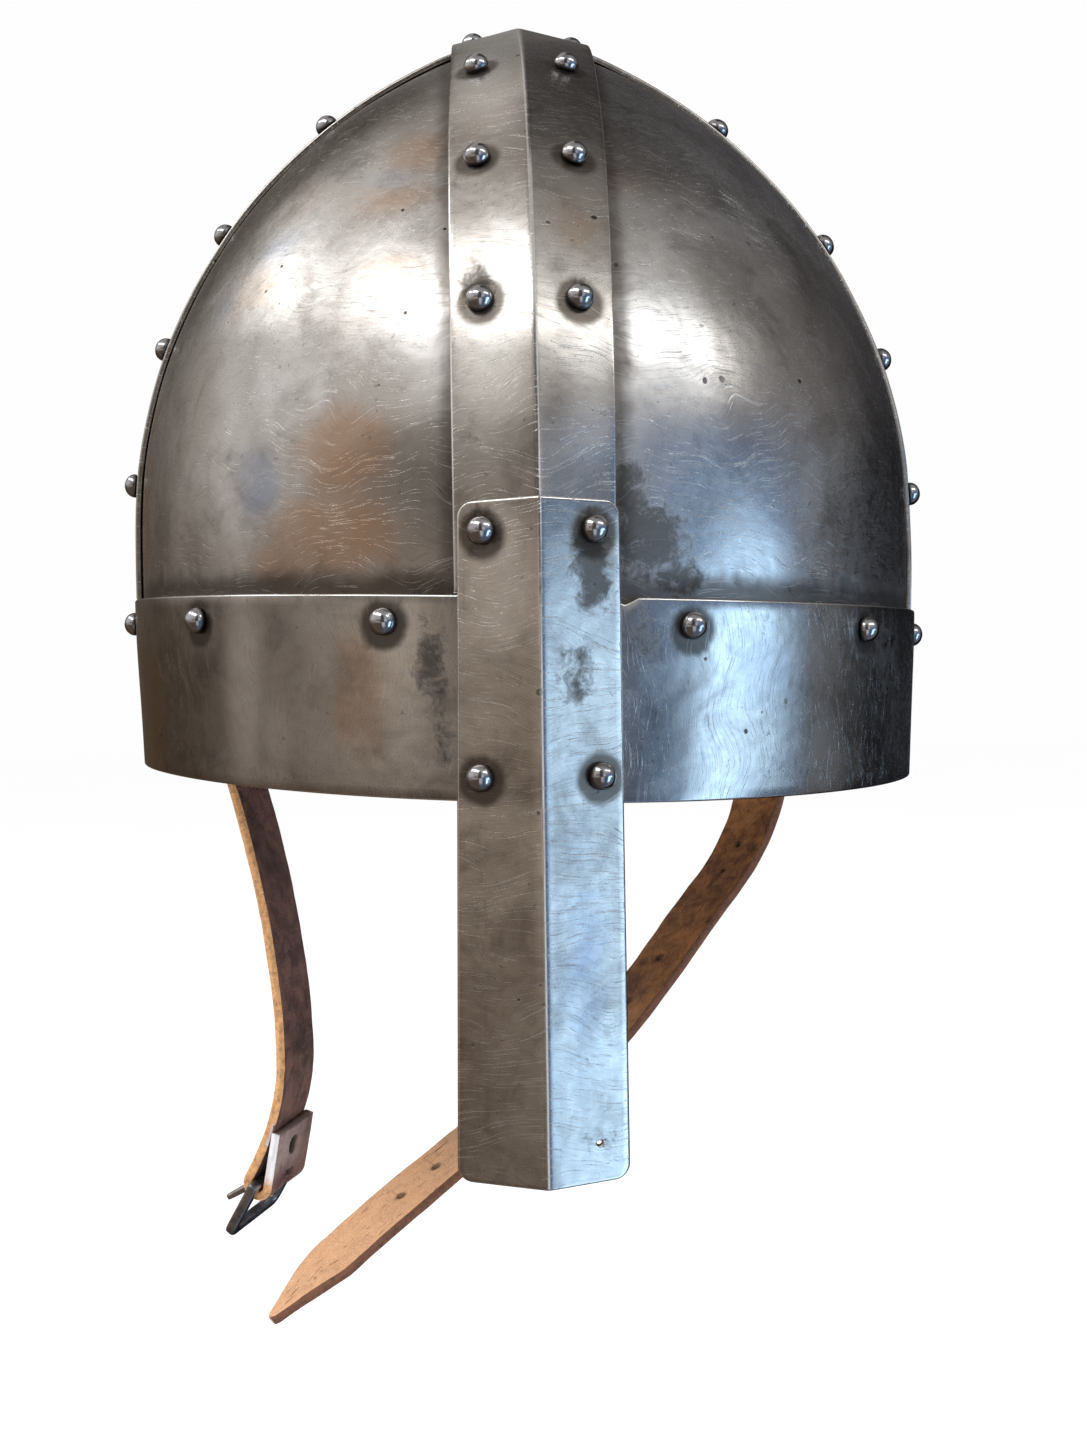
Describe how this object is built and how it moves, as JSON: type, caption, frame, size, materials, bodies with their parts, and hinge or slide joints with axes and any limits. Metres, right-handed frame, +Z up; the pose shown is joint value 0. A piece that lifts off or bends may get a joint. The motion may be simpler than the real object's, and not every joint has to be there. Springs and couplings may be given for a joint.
{
  "type": "spangenhelm helmet",
  "caption": "Riveted steel helmet: dome plates under crossing bands, a brow band, a ridged nasal bar and two leather chin straps, one with a buckle",
  "frame": {"origin": "the middle of the rim, where a head enters, level with the front of the brow band's lower edge", "axes": "+Z up through the apex, -Y towards the nasal bar at the front, +X to the right of a person who looks at the front"},
  "size_m": [0.2158, 0.2539, 0.3459],
  "materials": {
    "plate_steel": "polished steel darkened by oil and handling, with fine scratches, stains and small pits",
    "band_steel": "polished steel, browner than the plates, with worn bright edges, fine scratches and small pits",
    "rivet_steel": "smooth bright polished heads",
    "buckle_steel": "dull grey metal",
    "brown_leather": "dark purplish brown vegetable leather, paler cut edges",
    "tan_leather": "mid-brown leather, light tan towards the point, dark cut edges"
  },
  "bodies": {
    "helmet": {"plate_front_left": "plate_steel", "plate_front_right": "plate_steel", "plate_back_left": "plate_steel", "plate_back_right": "plate_steel", "cross_band": "band_steel", "ridge_band": "band_steel", "brow_band": "band_steel", "nasal": "band_steel", "strap_with_buckle": "brown_leather", "strap_with_holes": "tan_leather", "rivet_apex_left": "rivet_steel", "rivet_ridge_front_1_left": "rivet_steel", "rivet_ridge_front_2_left": "rivet_steel", "rivet_ridge_front_3_left": "rivet_steel", "rivet_ridge_back_1_left": "rivet_steel", "rivet_ridge_back_2_left": "rivet_steel", "rivet_ridge_back_3_left": "rivet_steel", "rivet_ridge_back_4_left": "rivet_steel", "rivet_cross_left_1_front": "rivet_steel", "rivet_cross_left_1_back": "rivet_steel", "rivet_cross_left_2_front": "rivet_steel", "rivet_cross_left_2_back": "rivet_steel", "rivet_cross_left_3_front": "rivet_steel", "rivet_cross_left_3_back": "rivet_steel", "rivet_cross_left_4_front": "rivet_steel", "rivet_cross_left_4_back": "rivet_steel", "rivet_brow_front_1_left": "rivet_steel", "rivet_brow_front_2_left": "rivet_steel", "rivet_brow_side_front_left": "rivet_steel", "rivet_brow_side_back_left": "rivet_steel", "rivet_brow_strap_left": "rivet_steel", "rivet_brow_back_left": "rivet_steel", "rivet_nasal_1_left": "rivet_steel", "rivet_nasal_2_left": "rivet_steel", "rivet_apex_right": "rivet_steel", "rivet_ridge_front_1_right": "rivet_steel", "rivet_ridge_front_2_right": "rivet_steel", "rivet_ridge_front_3_right": "rivet_steel", "rivet_ridge_back_1_right": "rivet_steel", "rivet_ridge_back_2_right": "rivet_steel", "rivet_ridge_back_3_right": "rivet_steel", "rivet_ridge_back_4_right": "rivet_steel", "rivet_cross_right_1_front": "rivet_steel", "rivet_cross_right_1_back": "rivet_steel", "rivet_cross_right_2_front": "rivet_steel", "rivet_cross_right_2_back": "rivet_steel", "rivet_cross_right_3_front": "rivet_steel", "rivet_cross_right_3_back": "rivet_steel", "rivet_cross_right_4_front": "rivet_steel", "rivet_cross_right_4_back": "rivet_steel", "rivet_brow_front_1_right": "rivet_steel", "rivet_brow_front_2_right": "rivet_steel", "rivet_brow_side_front_right": "rivet_steel", "rivet_brow_side_back_right": "rivet_steel", "rivet_brow_strap_right": "rivet_steel", "rivet_brow_back_right": "rivet_steel", "rivet_nasal_1_right": "rivet_steel", "rivet_nasal_2_right": "rivet_steel"},
    "frame": {"buckle_frame": "buckle_steel"},
    "prong": {"buckle_prong": "buckle_steel"}
  },
  "joints": [
    {"name": "frame_hinge", "type": "hinge", "parent": "helmet", "child": "frame", "pos_m": [-0.07616, 0.04331, -0.11948], "axis": [0.4167, 0.8973, 0.1456], "range_deg": [-100, 45]},
    {"name": "prong_hinge", "type": "hinge", "parent": "frame", "child": "prong", "pos_m": [-0.07616, 0.04331, -0.11948], "axis": [0.4167, 0.8973, 0.1456], "range_deg": [-17, 45]}
  ]
}
